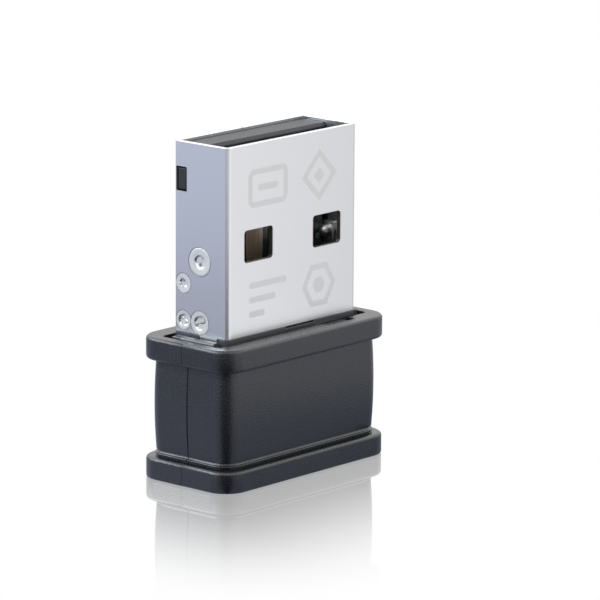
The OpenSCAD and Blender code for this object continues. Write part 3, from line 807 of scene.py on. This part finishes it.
def weld_beads():
    spots = [(side, spot) for side in (-1, 1) for spot in WELDS]
    beads = [weld_bead(side, spot, number) for number, (side, spot) in enumerate(spots)]
    points, faces = join([bead[:2] for bead in beads])
    kinds = [kind for bead in beads for kind in bead[2]]
    add_piece("weld_beads", points, faces, [WELD_RING_STEEL, WELD_CRATER],
              ["laser_weld_spots"], sharp=60, face_material=kinds)


# ----------------------------------------------------------------- marks

def on_front(verts):
    """Lays points drawn as (x, z, height) on the plug's front face."""
    return [(x, -PLUG_HD - height, z) for x, z, height in verts]


def framed(outline, stroke):
    """An outline's band, as a plate's loops."""
    return [outline, inset(outline, stroke)[::-1]]


def etched_marks():
    """Four plain shapes where such a plug carries its stamps: none is a real mark."""
    stroke = 0.36
    left, right, low, high = -2.3, 2.45, 11.45, 18.4
    bar_pitch, bar_half, bar_start, bar_r = 0.9, 0.19, left - 1.7, 0.12
    buried, proud, edge = -0.004, 0.0015, 0.0005
    shapes = [framed(rounded_rect(left - 1.8, high - 1.2, left + 1.8, high + 1.2, 0.5), stroke),
              [rounded_rect(left - 0.9, high - 0.2, left + 0.9, high + 0.2, 0.15, 3)],
              framed(regular((right, high), 1.65, 4), stroke),
              [regular((right, high), 0.5, 4)]]
    for row, width in enumerate((3.4, 2.4, 1.4)):
        z = low + bar_pitch - bar_pitch * row
        shapes.append([rounded_rect(bar_start, z - bar_half, bar_start + width, z + bar_half, bar_r, 3)])
    shapes += [framed(regular((right, low), 1.55, 6), stroke), [regular((right, low), 0.55, 6)]]
    verts, faces = join([plate(loops, buried, proud, edge, 1) for loops in shapes])
    add_piece("etched_marks", on_front(verts), faces, [ETCHED], sharp=10)


# ------------------------------------------------------ board and contacts

def on_board(verts):
    """Lays points drawn as (x, z, height) on the board's front face."""
    return [(x, BOARD_Y - height, z) for x, z, height in verts]


def contact_finger(name, node):
    """A gold finger with rounded ends on the board's face."""
    end_r, edge = 0.18, 0.03
    low, high = box_mm(node)
    verts, faces = plate([rounded_rect(low.x, low.z, high.x, high.z, end_r, 5)], 0, BOARD_Y - low.y, edge)
    add_piece(name, on_board(verts), faces, [GOLD], [node], sharp=60)


def via_ring(x, z, outer, inner):
    """The raised copper ring of a via."""
    sides, height, edge = 24, 0.03, 0.01
    loops = [regular((x, z), outer, sides), regular((x, z), inner, sides)[::-1]]
    return plate(loops, 0, height, edge, 2)


def track(points, width):
    """A track along a few points, as one bar for each stretch."""
    height, edge = 0.018, 0.005
    parts = []
    for a, b in zip(points, points[1:]):
        a, b = Vector(a), Vector(b)
        along = (b - a).normalized() * (width / 2)
        side = Vector((along.y, -along.x))
        corners = [a - along + side, b + along + side, b + along - side, a - along - side]
        parts.append(plate([[tuple(c) for c in corners]], 0, height, edge, 1))
    return parts


def board_tracks():
    """Vias and tracks in the strips that the fingers leave open."""
    strip = (DATA_LOW.x + VBUS_HIGH.x) / 2
    edge_strip = (BOARD_HIGH.x - 0.75 - VBUS_LOW.x) / 2 + 0.1
    rows, pitch, first_via, first_link = 7, 1.05, FOOT_Z + 3.6, FOOT_Z + 4.1
    edge_rows, edge_pitch, first_edge_via = 5, 1.9, FOOT_Z + 2.7
    jog, far_jog, feed_low, feed_high = 0.2, 0.22, FOOT_Z + 2.9, FOOT_Z + 3.25
    wide, narrow = 0.07, 0.06
    parts = []
    for side in (-1, 1):
        middle = -side * strip
        for row in range(rows):
            parts.append(via_ring(middle, first_via + row * pitch, 0.2, 0.09))
        feed = [(middle - far_jog, feed_low), (middle - far_jog, feed_high), (middle + jog, feed_high)]
        parts += track(feed, wide)
    for row in range(rows - 1):
        z = first_link + row * pitch
        parts += track([(strip - jog, z), (strip + far_jog, z), (strip + far_jog, z + 0.25)], narrow)
        parts += track([(-strip + jog, z), (-strip - far_jog, z + 0.2)], narrow)
    for side in (-1, 1):
        for row in range(edge_rows):
            parts.append(via_ring(side * edge_strip, first_edge_via + row * edge_pitch, 0.17, 0.08))
    verts, faces = join(parts)
    add_piece("board_tracks", on_board(verts), faces, [TRACK_GREEN], sharp=60)


# ----------------------------------------------------------------- stage

def add_camera():
    """The viewpoint: degrees round and above the adapter, and its distance and aim in millimetres."""
    yaw, pitch, roll = (math.radians(a) for a in (-48.639, 12.472, 0.303))
    distance, aim_height = 300.951, 11.0
    shift_right, shift_up = 2.147, -0.473
    ahead = Vector((-math.sin(yaw) * math.cos(pitch), math.cos(yaw) * math.cos(pitch), -math.sin(pitch)))
    level = Vector((math.cos(yaw), math.sin(yaw), 0))
    above = level.cross(ahead)
    right = math.cos(roll) * level + math.sin(roll) * above
    up = -math.sin(roll) * level + math.cos(roll) * above
    place = Vector((0, 0, aim_height)) - distance * ahead + shift_right * right + shift_up * up
    data = bpy.data.cameras.new("camera")
    data.sensor_width = 36.0
    data.lens = 290.25
    data.clip_start, data.clip_end = 0.01, 20.0
    camera = bpy.data.objects.new("camera", data)
    bpy.context.scene.collection.objects.link(camera)
    turn = Matrix((right, up, -ahead)).transposed()
    camera.matrix_world = Matrix.Translation(place * MM) @ turn.to_4x4()
    bpy.context.scene.camera = camera


# Directions from the adapter: to the left behind it, to the near corner, and to the right behind it
TO_LEFT = (-0.75, 0.66, 0)
TO_CORNER = (-0.75, -0.66, 0)
TO_RIGHT = (0.66, 0.75, 0)

# The floor's light on the adapter. A ramp over places is two distances in metres and the values
# before and after them; a spread is the two cosines between which a direction fades in.
FLOOR_BRIGHT = (0.90, 0.91, 0.93, 1)
FLOOR_BLUISH = (0.51, 0.55, 0.68, 1)
FLOOR_NEAR = (0.76, 0.85, 1.04, 1)
FLOOR_NEAR_RAMP = (0.020, 0.034)
LEFT_SPREAD = (0.1, 0.85)
LEFT_RAMPS = ((0.04, 0.085, 0.5, 1.03), (0.030, 0.041, 0.52, 0.0))
RIGHT_FADE = (-0.010, 0.013, 1.03, 0.70)
RIGHT_RAMPS = ((0.016, 0.032, 0.50, 1.16), (0.033, 0.045, 0.0, -0.17), (0.05, 0.10, 0.0, 0.06))
CORNER_PLACE = (-0.0072, -0.0034, 0)
CORNER_SPREAD = (0.62, 0.94)
CORNER_DARK = (0.055, 0.075, 0.93, 0.3)

# The adapter's reflection in the floor: its strength at the foot, how far from the foot it is
# gone, in metres, and how fast it falls
SHINE = 0.61
SHINE_REACH = 0.022
SHINE_FALL = 1.4
FLOOR_ROUGH = 0.03

# The surround's light on the adapter: spreads are over the height of a direction, or a cosine
BAND_LOW = (0.26, 0.42)
BAND_HIGH = (0.95, 0.70)
BAND_GLOW = 0.8
SKY_LEFT = (-0.70, 0.62, 0.35)
SKY_LEFT_SPREAD = (0.70, 0.95)
SKY_LEFT_GLOW = 5.4
SKY_LEFT_TINT = (0.80, 0.89, 1, 1)
SKY_CORNER_SPREAD = (0.70, 0.93)
SKY_CORNER_LOW = (0.75, 0.35)
SKY_CORNER_SHADE = 0.8


def floor_light(g, place):
    """What the floor sends to the adapter: bright on one side, bluish grey on the other and dark
    in front of its near corner."""
    reach = g.vector("LENGTH", place)
    heading = g.vector("NORMALIZE", place)
    left = g.ramp(g.vector("DOT_PRODUCT", heading, TO_LEFT), *LEFT_SPREAD)
    from_corner = g.vector("NORMALIZE", g.vector("SUBTRACT", place, CORNER_PLACE))
    corner = g.ramp(g.vector("DOT_PRODUCT", from_corner, TO_CORNER), *CORNER_SPREAD)
    corner_dark = g.product(corner, g.ramp(reach, *CORNER_DARK))
    right_fade = g.ramp(g.vector("DOT_PRODUCT", place, TO_RIGHT), *RIGHT_FADE)
    right_light = g.product(right_fade, g.total(*(g.ramp(reach, *ramp) for ramp in RIGHT_RAMPS)))
    left_light = g.total(*(g.ramp(reach, *ramp) for ramp in LEFT_RAMPS))
    level = g.total(g.product(g.rest(left), right_light), g.product(left, left_light))
    right_colour = g.mix(g.ramp(reach, *FLOOR_NEAR_RAMP), FLOOR_NEAR, FLOOR_BRIGHT)
    sent = g.node("ShaderNodeEmission")
    g.feed(sent.inputs["Color"], g.mix(left, right_colour, FLOOR_BLUISH))
    g.feed(sent.inputs["Strength"], g.product(level, g.rest(corner_dark)))
    return sent.outputs[0]


def floor_seen(g, place):
    """What the camera sees of the floor: white, with the adapter's fading reflection."""
    split = g.node("ShaderNodeSeparateXYZ")
    g.feed(split.inputs[0], place)
    beyond = []
    for along, half in zip(split.outputs, (HALF_W, HALF_D)):
        out = g.math("MAXIMUM", g.math("SUBTRACT", g.math("ABSOLUTE", along), half * MM), 0.0)
        beyond.append(g.math("POWER", out, 4.0))
    away = g.math("POWER", g.total(*beyond), 0.25)
    shine = g.product(g.math("POWER", g.ramp(away, 0.0, SHINE_REACH, 1.0, 0.0), SHINE_FALL), SHINE)
    white = g.node("ShaderNodeEmission")
    g.feed(white.inputs["Strength"], 1.0)
    gloss = g.node("ShaderNodeBsdfGlossy")
    g.feed(gloss.inputs["Color"], (1, 1, 1, 1))
    g.feed(gloss.inputs["Roughness"], FLOOR_ROUGH)
    return g.mix_shaders(shine, white.outputs[0], gloss.outputs[0])


def add_floor():
    """A glossy white sweep, which also lights the adapter from below."""
    radius = 3.0
    mesh = bpy.data.meshes.new("floor")
    corners = [(x * radius, y * radius, 0) for x, y in ((-1, -1), (1, -1), (1, 1), (-1, 1))]
    mesh.from_pydata(corners, [], [(0, 1, 2, 3)])
    floor = bpy.data.objects.new("floor", mesh)
    bpy.context.scene.collection.objects.link(floor)
    material = bpy.data.materials.new("white floor")
    material.use_nodes = True
    material.node_tree.nodes.clear()
    g = Graph(material.node_tree)
    place = g.node("ShaderNodeNewGeometry").outputs["Position"]
    by_camera = g.node("ShaderNodeLightPath").outputs["Is Camera Ray"]
    output = g.node("ShaderNodeOutputMaterial")
    g.feed(output.inputs["Surface"], g.mix_shaders(by_camera, floor_light(g, place), floor_seen(g, place)))
    mesh.materials.append(material)


def add_surround():
    """A white surround. On the adapter it shines brighter in a band above the horizon, most at
    the left behind it, and less from the near corner."""
    world = bpy.data.worlds.new("white surround")
    bpy.context.scene.world = world
    world.use_nodes = True
    g = Graph(world.node_tree)
    heading = g.node("ShaderNodeTexCoord").outputs["Generated"]
    split = g.node("ShaderNodeSeparateXYZ")
    g.feed(split.inputs[0], heading)
    height = split.outputs[2]
    band = g.product(g.ramp(height, *BAND_LOW), g.ramp(height, *BAND_HIGH))
    left = g.ramp(g.vector("DOT_PRODUCT", heading, SKY_LEFT), *SKY_LEFT_SPREAD)
    glow = g.total(g.product(band, BAND_GLOW), g.product(g.product(left, band), SKY_LEFT_GLOW))
    by_camera = g.node("ShaderNodeLightPath").outputs["Is Camera Ray"]
    facing = g.ramp(g.vector("DOT_PRODUCT", heading, TO_CORNER), *SKY_CORNER_SPREAD)
    shade = g.product(facing, g.ramp(height, *SKY_CORNER_LOW))
    open_sky = g.rest(g.product(shade, SKY_CORNER_SHADE))
    background = world.node_tree.nodes["Background"]
    g.feed(background.inputs["Color"], g.mix(left, (1, 1, 1, 1), SKY_LEFT_TINT))
    extra = g.product(glow, g.rest(by_camera))
    g.feed(background.inputs["Strength"], g.product(open_sky, g.total(1.0, extra)))


# ------------------------------------------------------------------ build

housing_half("front_grip_half", "front_housing", -1)
housing_half("back_grip_half", "back_housing", 1)
plug_shell()
weld_beads()
etched_marks()
soften("plug_collar", "seat_collar", 0.05, COLLAR_BLACK)
soften("board_carrier", "board_tray", 0.05, CARRIER_BLACK)
soften("circuit_board", "board", 0.03, BOARD_GREEN)
soften("ground_frame", "grounding_frame", 0.03, FRAME_STEEL)
soften("light_pipe", "light_guide", 0.06, PIPE_RESIN)
for wire in ("vbus", "data_minus", "data_plus", "ground"):
    contact_finger(f"{wire}_finger", f"contact_{wire}")
board_tracks()

CARRIED = {
    "wifi_chip": CHIP_EPOXY,
    "eeprom_chip": CHIP_EPOXY,
    "crystal": CRYSTAL_CAN,
    "voltage_regulator": CHIP_EPOXY,
    "power_inductor": FERRITE,
    "rf_filter": FILTER_CERAMIC,
    "chip_antenna": ANTENNA_CERAMIC,
    "ceramic_capacitors": CAPACITOR_CERAMIC,
    "chip_resistors": RESISTOR_GLAZE,
    "shell_solder_joints": SOLDER,
    "status_led": LED_RESIN,
}
for node_name, node_material in CARRIED.items():
    for material_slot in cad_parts[node_name].material_slots:
        material_slot.material = node_material

add_floor()
add_surround()
add_camera()
bpy.context.scene.view_settings.view_transform = "Standard"
